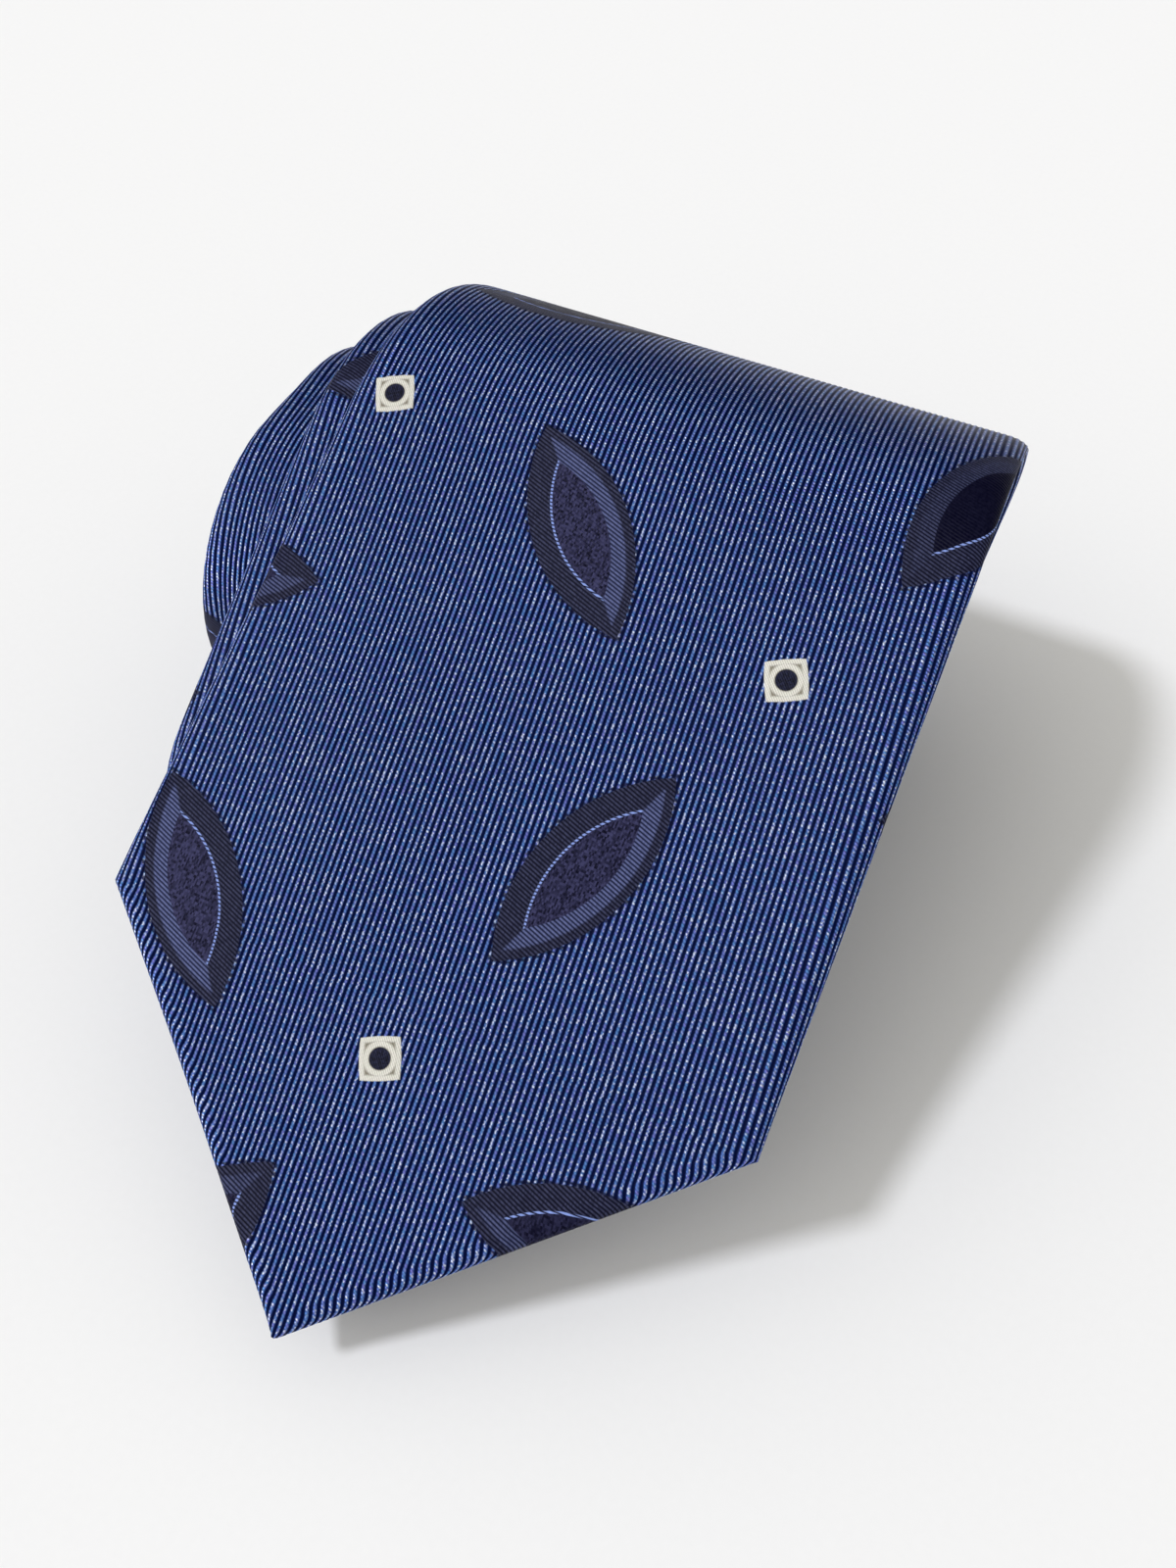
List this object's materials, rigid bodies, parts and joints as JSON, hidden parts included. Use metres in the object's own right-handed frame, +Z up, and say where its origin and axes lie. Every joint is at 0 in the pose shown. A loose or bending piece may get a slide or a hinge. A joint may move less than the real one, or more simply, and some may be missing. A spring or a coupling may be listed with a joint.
{
  "type": "necktie",
  "caption": "Wide jacquard silk necktie, rolled into a loose coil with its pointed blade laid over the roll as a free flap.",
  "frame": {"origin": "on the table, under the middle of the flat stretch of the outer turn that the roll rests on", "axes": "+X along the axis of the roll, to the right of a person facing the blade's point; +Y away from the point, towards the back of the roll; +Z up"},
  "size_m": [0.0995, 0.14, 0.062],
  "materials": {
    "jacquard_silk": "ribbed navy and cornflower silk with a soft sheen",
    "lining_satin": "plain navy lining satin",
    "wool_interlining": "brushed cream wool interlining",
    "sewing_thread": "twisted silk sewing thread",
    "label_satin": "plain woven satin label with no mark"
  },
  "bodies": {
    "roll": {"blade_shell_rolled": "jacquard_silk", "neck_shell": "jacquard_silk", "tail_shell": "jacquard_silk", "interlining_rolled": "wool_interlining", "tail_tipping": "lining_satin", "blade_neck_join_seam": "sewing_thread", "neck_tail_join_seam": "sewing_thread", "slip_stitch_rolled": "sewing_thread", "tail_bar_tack": "sewing_thread", "keeper_loop": "jacquard_silk", "keeper_stitch_left": "sewing_thread", "keeper_stitch_right": "sewing_thread", "blank_label": "label_satin"},
    "blade": {"blade_shell_middle": "jacquard_silk", "interlining_middle": "wool_interlining", "blade_tipping_upper": "lining_satin", "slip_stitch_blade": "sewing_thread", "blade_bar_tack": "sewing_thread", "slack_thread_loop": "sewing_thread"},
    "blade_point": {"blade_shell_tip": "jacquard_silk", "interlining_tip": "wool_interlining", "blade_tipping_lower": "lining_satin"}
  },
  "joints": [
    {"name": "blade_lift", "type": "hinge", "parent": "roll", "child": "blade", "pos_m": [0, 0.00888, 0.0586], "axis": [-1, 0, 0], "range_deg": [0, 75]},
    {"name": "point_curl", "type": "hinge", "parent": "blade", "child": "blade_point", "pos_m": [0, -0.03189, 0.03773], "axis": [-1, 0, 0], "range_deg": [-8, 40]}
  ]
}
